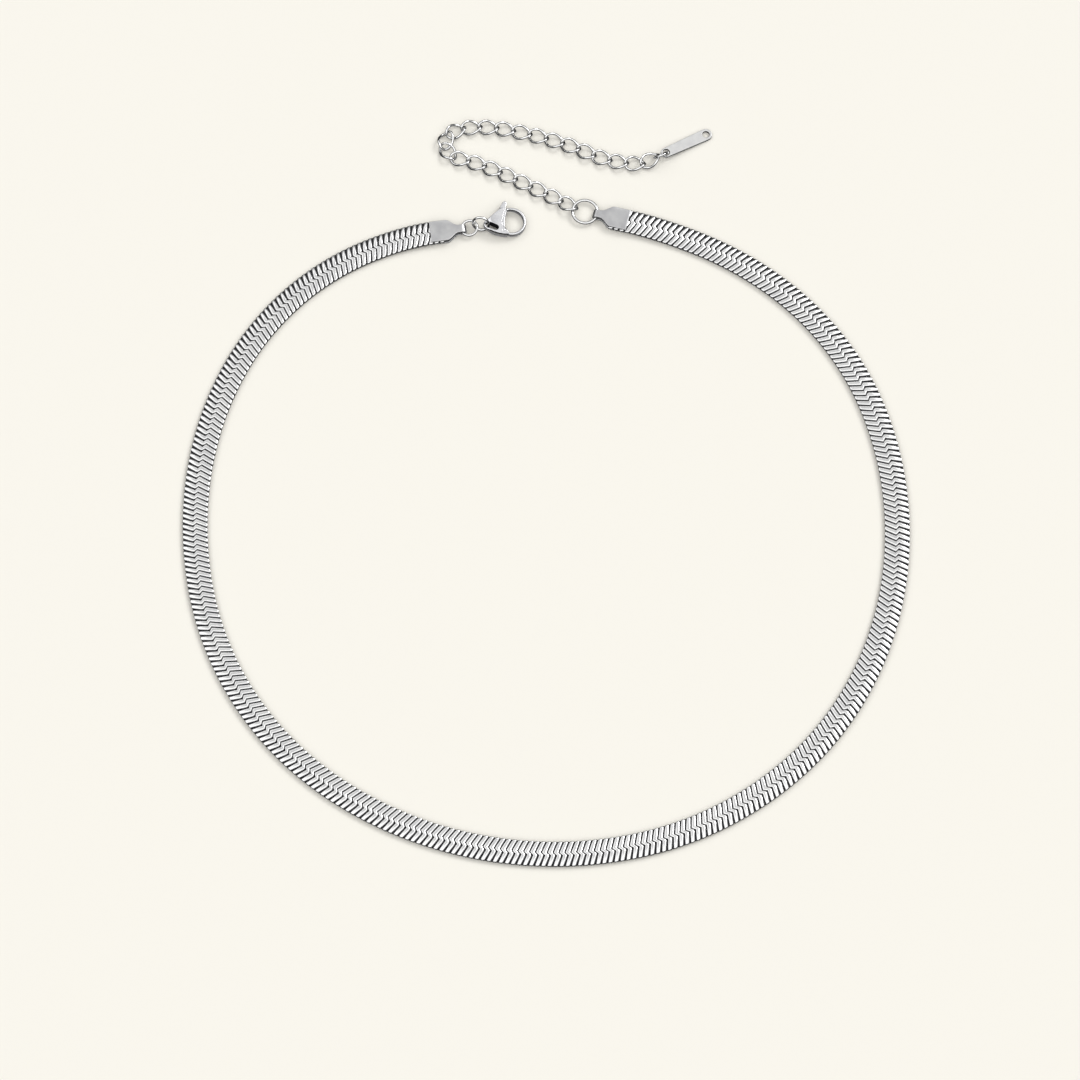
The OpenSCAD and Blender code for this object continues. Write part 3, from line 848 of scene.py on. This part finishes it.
@dataclass
class Clasp:
    """Lobster clasp: two cheeks on a web, a round hook, a hinge pin and a sprung lever."""

    place: Place = Place(-6.72475, 54.126, 0.948949, -4.0, 7.0)
    radius: float = 2.9
    hook_width: float = 0.5
    hook_height: float = 1.2
    hook_from: float = -106.5
    hook_to: float = 114.0
    hook_rounding: float = 0.2
    nose_slim: tuple[float, float] = (0.8, 0.12)
    nose_rounding: float = 0.06
    thickness: float = 1.6
    tail: float = 0.8
    slot: float = 0.82
    lever: float = 0.7
    lever_gap: float = 0.06
    hub: float = 0.5
    pin: float = 0.45
    pin_gap: float = 0.03
    swing: float = 22.0
    eye_width: float = 1.15
    eye_length: float = 2.6
    eye_slope: float = -18.0
    corner: float = 0.16
    rim: float = 0.13
    lever_rim: float = 0.11
    pin_swell: float = 0.02
    thin_tail_at: tuple[float, float] = (-1.57, -1.3)
    # Angles where the painted shade on the hook's inside starts and where that on its foot ends, and their
    # fade
    shade_inside: float = -15.0
    shade_foot: float = -40.0
    shade_fade: float = 40.0
    pivot: tuple[float, float] = (-0.43, -0.71)
    eye: tuple[float, float] = (-1.244, -0.516)
    # Plan of the cheeks, in hook radii: the tail, the top edge to the hook's tip, down the
    # lever's side, and back along the bottom edge
    tail_edge: tuple[tuple[float, float], ...] = ((-1.83, -0.33), (-1.76, -0.17), (-1.51, 0.07))
    lever_side: tuple[tuple[float, float], ...] = (
        (-0.83, 0.8), (-0.61, 0.96), (-0.49, 0.71), (-0.56, 0.33), (-0.61, -0.11), (-0.54, -0.46),
        (-0.36, -0.56), (-0.23, -0.68),
    )
    lower_edge: tuple[tuple[float, float], ...] = (
        (-0.13, -0.83), (-0.12, -0.98), (-0.45, -1.0), (-0.79, -0.98), (-1.17, -0.9), (-1.52, -0.76),
        (-1.74, -0.59), (-1.81, -0.45),
    )
    # Where the web between the cheeks ends, at the top edge and on the lever's side
    web_top: tuple[float, float] = (-1.122, 0.487)
    web_right: tuple[float, float] = (-0.213, -0.707)
    # Plan of the lever over its hub, in hook radii
    closing_edge: tuple[tuple[float, float], ...] = ((-0.39, -0.42), (-0.43, 0.06), (-0.41, 0.38))
    nose: tuple[float, float] = (0.8, 1.04)
    nose_gap: float = 1.5
    tab: tuple[tuple[float, float], ...] = (
        (-0.39, 1.3), (-0.45, 1.44), (-0.54, 1.47), (-0.65, 1.4), (-0.85, 0.97), (-0.64, 0.66),
    )

    def at(self, share: tuple[float, float]) -> Vector:
        """Point of the clasp's plan, from a pair in hook radii."""
        return Vector((share[0] * self.radius, share[1] * self.radius, 0.0))

    def cheek_outline(self) -> list[Vector]:
        """Plan of a cheek."""
        return [self.at(share) for share in (*self.tail_edge, *self.lever_side, *self.lower_edge)]

    def web_outline(self) -> list[Vector]:
        """Plan of the web between the cheeks.

        Returns:
            Its corners, with a bay that leaves room for the lever's hub and swing.
        """
        back = 90.0 + self.swing
        room = self.hub + self.lever_gap
        bay = [
            self.at(self.pivot) + room * heading(mix(back + 90.0, 330.0, step / 8)) for step in range(9)
        ]
        shares = (*self.tail_edge, self.web_top)
        return [
            *[self.at(share) for share in shares],
            *bay,
            self.at(self.web_right),
            *[self.at(share) for share in self.lower_edge],
        ]

    def eye_outline(self) -> list[Vector]:
        """Outline of the eye.

        Returns:
            Points round a slot with round ends.
        """
        half = (self.eye_length - self.eye_width) / 2
        points = []
        for end, first in ((1.0, -90), (-1.0, 90)):
            for step in range(13):
                points.append(end * half * heading(0) + self.eye_width / 2 * heading(first + 15 * step))
        turn = Matrix.Rotation(math.radians(self.eye_slope), 3, "Z")
        return [self.at(self.eye) + turn @ point for point in points]

    def block(self, outline: Sequence[Vector], low: float, high: float) -> BMesh:
        """Slab with the eye through it and with eased corners.

        Args:
            outline: Plan of the slab.
            low: Height of its lower face.
            high: Height of its upper face.

        Returns:
            A closed mesh.
        """
        shape = bmesh.new()
        for loop in (outline, self.eye_outline()):
            ends = [shape.verts.new((p.x, p.y, low)) for p in loop]
            for here, there in zip(ends, ends[1:] + ends[:1]):
                shape.edges.new((here, there))
        if high > self.slot / 2 or low < -self.slot / 2:
            bmesh.ops.create_circle(
                shape, cap_ends=False, segments=24, radius=self.pin / 2 + self.pin_gap,
                matrix=Matrix.Translation(self.at(self.pivot) + Vector((0, 0, low))),
            )
        bmesh.ops.triangle_fill(shape, use_beauty=True, edges=list(shape.edges))
        raised = bmesh.ops.extrude_face_region(shape, geom=list(shape.faces))["geom"]
        verts = [v for v in raised if isinstance(v, BMVert)]
        bmesh.ops.translate(shape, vec=(0, 0, high - low), verts=verts)
        bmesh.ops.recalc_face_normals(shape, faces=list(shape.faces))
        bmesh.ops.dissolve_limit(
            shape, angle_limit=math.radians(1.0), verts=list(shape.verts), edges=list(shape.edges)
        )
        plan = {(round(p.x, 3), round(p.y, 3)) for p in self.cheek_outline()}
        upright = [
            e for e in long_edges(shape, 5.0)
            if all((round(v.co.x, 3), round(v.co.y, 3)) in plan for v in e.verts)
            and abs(e.verts[0].co.z - e.verts[1].co.z) > 0.1
        ]
        round_off(shape, upright, self.corner, 3)
        return shape

    def thin_tail(self, shape: BMesh) -> None:
        """Thins the tail, from the cheeks' full thickness.

        Args:
            shape: The cheeks and their web.
        """
        for share in self.thin_tail_at:
            cut_across(shape, self.at((share, 0.0)), Vector((1, 0, 0)))
        for vert in shape.verts:
            vert.co.z *= mix(self.tail / self.thickness, 1.0, self.cheek_share(vert.co))

    def build_body(self) -> None:
        """Builds the cheeks, their web and the hook as one casting, and dresses it."""
        whole = bmesh.new()
        for low, high in ((self.slot / 2, self.thickness / 2), (-self.thickness / 2, -self.slot / 2)):
            cheek = self.block(self.cheek_outline(), low, high)
            outer = max(abs(low), abs(high))
            rim = [e for e in long_edges(cheek, 50.0) if all(abs(v.co.z) > outer - 0.01 for v in e.verts)]
            round_off(cheek, rim, self.rim, 3)
            merge(whole, cheek)
        merge(whole, self.block(self.web_outline(), -self.slot / 2, self.slot / 2))
        self.thin_tail(whole)
        merge(whole, self.hook())
        bmesh.ops.recalc_face_normals(whole, faces=list(whole.faces))
        piece = finish_piece("clasp_casting", whole, CAST, Body.NECKLACE, ["clasp_body"], self.place, 40.0)
        # Painted shade on the eye's walls, the hook's inside and foot and the cheeks' lower edge
        mark_painted_shade(piece, [self.painted_shade_of(point) for point in plan_points(piece, self.place)])
        even_normals(piece)

    def painted_shade_of(self, point: Vector) -> float:
        """How far a point of the casting was out of the polishing wheel's reach.

        Args:
            point: Point in the clasp's own plan.

        Returns:
            A share of painted shade that is high on the eye's walls and along the top of
            the hook's inside, of its foot and of the cheeks' lower edge.
        """
        radius = math.hypot(point.x, point.y)
        angle = math.degrees(math.atan2(point.y, point.x))
        if abs(point.z) < (self.hook_height - self.hook_rounding) / 2:
            top = 1.0 if point.z > 0 else 0.1
            if abs(radius - self.radius + self.hook_width) < 4 * WALL:
                reach = ease((angle - self.shade_inside) / self.shade_fade)
                return top * reach if angle < self.hook_to + 1.0 else 0.0
            if radius > self.radius - 4 * WALL and angle > self.hook_from - 1.0:
                return top * ease((self.shade_foot - angle) / self.shade_fade)
        slope = math.radians(self.eye_slope)
        away = point - self.at(self.eye)
        along = away.x * math.cos(slope) + away.y * math.sin(slope)
        half = (self.eye_length - self.eye_width) / 2
        beyond = max(0.0, abs(along) - half)
        aside = away.y * math.cos(slope) - away.x * math.sin(slope)
        if math.hypot(beyond, aside) < self.eye_width / 2 + WALL:
            return 1.0
        for here, there in zip(self.lower_edge[1:], self.lower_edge[2:]):
            foot, share = intersect_point_line(point.xy, self.at(here).xy, self.at(there).xy)
            if -0.05 < share < 1.05 and (foot - point.xy).length < 3.5 * WALL:
                level = point.z / mix(self.tail / self.thickness, 1.0, self.cheek_share(point))
                under_rim = level < self.thickness / 2 - self.rim + 1.5 * WALL
                return ease((level + self.slot / 2) / (self.thickness / 2)) if under_rim else 0.0
        return 0.0

    def cheek_share(self, point: Vector) -> float:
        """How far a point is from the thin tail into the full cheeks, from 0 to 1."""
        start, end = self.thin_tail_at
        return ease((point.x / self.radius - start) / (end - start))

    def hook(self) -> BMesh:
        """The round hook.

        Returns:
            A rounded bar, swept from the cheeks to the lever's nose.
        """
        shape = bmesh.new()
        middle = self.radius - self.hook_width / 2
        bmesh.ops.create_cube(shape, size=1.0)
        bmesh.ops.scale(shape, vec=(self.hook_width, 1.0, self.hook_height), verts=shape.verts)
        bars = [e for e in shape.edges if abs(e.verts[0].co.y - e.verts[1].co.y) > 0.5]
        round_off(shape, bars, self.hook_rounding, 4)
        steps = 48
        for step in range(1, steps):
            cut_across(shape, Vector((0, step / steps - 0.5, 0)), Vector((0, 1, 0)))
        ends = [e for e in shape.edges if all(abs(v.co.y) > 0.499 for v in e.verts)]
        slim_from, slimmed = self.nose_slim
        for vert in shape.verts:
            share = vert.co.y + 0.5
            angle = mix(self.hook_from, self.hook_to, share)
            slim = 1.0 - slimmed * ease((share - slim_from) / (1.0 - slim_from))
            vert.co = (middle + vert.co.x * slim) * heading(angle) + Vector((0, 0, vert.co.z * slim))
        round_off(shape, [e for e in ends if e.is_valid], self.nose_rounding, 2)
        return shape

    def build_pin(self) -> None:
        """Builds the hinge pin with its rounded ends, and dresses it."""
        shape = bmesh.new()
        radius = self.pin / 2 + self.pin_swell
        bmesh.ops.create_cone(
            shape, cap_ends=True, cap_tris=False, segments=32,
            radius1=radius, radius2=radius, depth=self.thickness,
            matrix=Matrix.Translation(self.at(self.pivot)),
        )
        round_off(shape, long_edges(shape, 60.0), self.pin_swell, 2)
        even_normals(finish_piece("hinge_rivet", shape, RIVET, Body.NECKLACE, ["clasp_pin"], self.place))

    def build_lever(self) -> None:
        """Builds the lever with its nose and thumb tab, and dresses it."""
        pivot = self.at(self.pivot)
        nose = heading(self.hook_to + self.nose_gap)
        outline = [
            *[pivot + self.hub * heading(180.0 + 18.0 * step) for step in range(11)],
            *[self.at(share) for share in self.closing_edge],
            *[share * self.radius * nose for share in self.nose],
            *[self.at(share) for share in self.tab],
        ]
        shape = flat_plate(outline, [(pivot, self.pin / 2 + self.pin_gap)], self.lever)
        plan = {(round(self.at(share).x, 3), round(self.at(share).y, 3)) for share in self.tab[:-1]}
        upright = [
            e for e in long_edges(shape, 5.0)
            if all((round(v.co.x, 3), round(v.co.y, 3)) in plan for v in e.verts)
        ]
        round_off(shape, upright, self.corner, 3)
        rim = [
            e for e in long_edges(shape, 50.0)
            if abs(e.verts[0].co.z - e.verts[1].co.z) < WALL / 2
            and (e.verts[0].co - pivot).xy.length > self.pin
        ]
        round_off(shape, rim, self.lever_rim, 3)
        even_normals(finish_piece("thumb_lever", shape, CAST, Body.LEVER, ["clasp_lever"], self.place, 40.0))

    def build(self) -> None:
        """Builds the whole clasp."""
        self.build_body()
        self.build_pin()
        self.build_lever()


@dataclass
class BarTag:
    """Bar tag with two round ends, wider at its far end, and a hole at each."""

    place: Place = Place(23.3241, 69.1218, 0.610485, 28.0, 3.5)
    width: float = 2.4
    neck: float = 2.0
    thickness: float = 0.5
    far: float = 8.8
    hole: float = 1.4
    eye: float = 1.4
    rim: float = 0.08

    def build(self) -> None:
        """Builds the tag and dresses it."""
        outline = [
            Vector((middle, 0, 0)) + width / 2 * heading(first + 7.5 * step)
            for middle, width, first in ((0.0, self.neck, 90.0), (self.far, self.width, -90.0))
            for step in range(25)
        ]
        holes = [(Vector((0, 0, 0)), self.eye / 2), (Vector((self.far, 0, 0)), self.hole / 2)]
        shape = flat_plate(outline, holes, self.thickness)
        bmesh.ops.translate(shape, vec=(0, 0, self.thickness / 2), verts=shape.verts)
        round_off(shape, long_edges(shape, 50.0), self.rim, 3)
        piece = finish_piece("bar_tag", shape, BRUSHED, Body.NECKLACE, ["tag"], self.place, 40.0)
        # Painted shade on the walls of both holes
        mark_painted_shade(piece, [
            float(any((point - middle).xy.length < radius + WALL for middle, radius in holes))
            for point in plan_points(piece, self.place)
        ])
        even_normals(piece)


@dataclass
class Studio:
    """Pale floor, soft light and the camera."""

    look_at: tuple[float, float, float] = (-1.145, -11.579, 0.0)
    elevation: float = 68.0
    distance: float = 921.2
    lens: float = 163.3
    floor_colour: tuple[float, float, float] = (0.847, 0.823, 0.755)
    key_from: tuple[float, float, float] = (0.55, 0.45, 0.7)
    key_power: float = 0.8
    key_spread: float = 24.0
    # Height of a direction, from straight down to straight up, and brightness there
    tent: tuple[tuple[float, float], ...] = (
        (-1.0, 0.3), (-0.8, 0.2), (-0.5, 0.02), (0.3, 0.03), (0.46, 0.4), (0.6, 1.5), (1.0, 1.3),
    )
    scrim_at: tuple[float, float, float] = (0.0, 0.375, 0.927)
    scrim_spread: tuple[float, float] = (14.0, 34.0)
    scrim: float = 0.68

    def floor(self) -> None:
        """Lays the pale floor."""
        shape = bmesh.new()
        bmesh.ops.create_grid(shape, x_segments=1, y_segments=1, size=3.0)
        mesh = bpy.data.meshes.new("floor")
        shape.to_mesh(mesh)
        shape.free()
        paint = bpy.data.materials.new("floor_card")
        paint.use_nodes = True
        shader = paint.node_tree.nodes["Principled BSDF"]
        shader.inputs["Base Color"].default_value = (*self.floor_colour, 1.0)
        shader.inputs["Roughness"].default_value = 0.9
        shader.inputs["Specular IOR Level"].default_value = 0.1
        mesh.materials.append(paint)
        card = bpy.data.objects.new("floor", mesh)
        bpy.context.scene.collection.objects.link(card)
        card.visible_glossy = False

    def sky(self) -> None:
        """Makes the light tent: bright sides, a dark rim, and a grey scrim that the flats mirror."""
        world = bpy.data.worlds.new("tent")
        bpy.context.scene.world = world
        world.use_nodes = True
        tree = world.node_tree
        where = tree.nodes.new("ShaderNodeTexCoord")
        parts = tree.nodes.new("ShaderNodeSeparateXYZ")
        height = tree.nodes.new("ShaderNodeMapRange")
        height.inputs["From Min"].default_value = -1.0
        ramp = tree.nodes.new("ShaderNodeValToRGB")
        ramp.color_ramp.interpolation = "EASE"
        for position, level in self.tent[1:-1]:
            ramp.color_ramp.elements.new((position + 1.0) / 2)
        for element, (position, level) in zip(ramp.color_ramp.elements, self.tent):
            element.position = (position + 1.0) / 2
            element.color = (level, level, level, 1.0)
        toward = tree.nodes.new("ShaderNodeVectorMath")
        toward.operation = "DOT_PRODUCT"
        toward.inputs[1].default_value = self.scrim_at
        near = tree.nodes.new("ShaderNodeMapRange")
        near.interpolation_type = "SMOOTHSTEP"
        near.inputs["From Min"].default_value = math.cos(math.radians(self.scrim_spread[1]))
        near.inputs["From Max"].default_value = math.cos(math.radians(self.scrim_spread[0]))
        scrim = tree.nodes.new("ShaderNodeMix")
        scrim.data_type = "RGBA"
        scrim.inputs["B"].default_value = (self.scrim, self.scrim, self.scrim, 1.0)
        join(tree, (
            (where, "Generated", parts, "Vector"),
            (parts, "Z", height, "Value"),
            (height, "Result", ramp, "Fac"),
            (where, "Generated", toward, "Vector"),
            (toward, "Value", near, "Value"),
            (near, "Result", scrim, "Factor"),
            (ramp, "Color", scrim, "A"),
            (scrim, "Result", tree.nodes["Background"], "Color"),
        ))

    def key(self) -> None:
        """Hangs the soft key light, far off at the right of the table's back."""
        light = bpy.data.lights.new("key", "SUN")
        light.angle = math.radians(self.key_spread)
        light.energy = self.key_power
        lamp = bpy.data.objects.new("key", light)
        lamp.rotation_euler = Vector(self.key_from).to_track_quat("Z", "Y").to_euler()
        bpy.context.scene.collection.objects.link(lamp)

    def camera(self) -> None:
        """Sets the camera at the photograph's viewing angle."""
        aim = Vector(self.look_at) * MM
        rise = math.radians(self.elevation)
        back = Vector((0.0, -math.cos(rise), math.sin(rise)))
        data = bpy.data.cameras.new("camera")
        data.lens = self.lens
        data.sensor_width = 36.0
        data.clip_start = 0.05
        data.clip_end = 20.0
        camera = bpy.data.objects.new("camera", data)
        camera.location = aim + back * self.distance * MM
        camera.rotation_euler = back.to_track_quat("Z", "Y").to_euler()
        bpy.context.scene.collection.objects.link(camera)
        bpy.context.scene.camera = camera

    def build(self) -> None:
        """Sets the whole stage."""
        bpy.context.scene.view_settings.view_transform = "Standard"
        self.floor()
        self.sky()
        self.key()
        self.camera()


def corners(box: tuple[Vector, Vector]) -> list[list[float]]:
    """Corners of a box as plain lists of numbers."""
    return [[float(value) for value in corner] for corner in box]


def main() -> None:
    """Builds the necklace over its solids, then the stage."""
    logging.basicConfig(level=logging.INFO, format="%(name)s: %(message)s")
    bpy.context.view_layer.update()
    HerringboneBand().build()
    EndCap("clasp_cap", "end_cap_clasp", Place(-22.3004, 51.8321, 0.75, 8.0)).build()
    EndCap("extender_cap", "end_cap_extender", Place(15.894, 54.3744, 0.75, 166.0)).build()
    for ring in RINGS:
        ring.build()
    CurbChain().build()
    Clasp().build()
    BarTag().build()
    Studio().build()


if __name__ == "__main__":
    main()
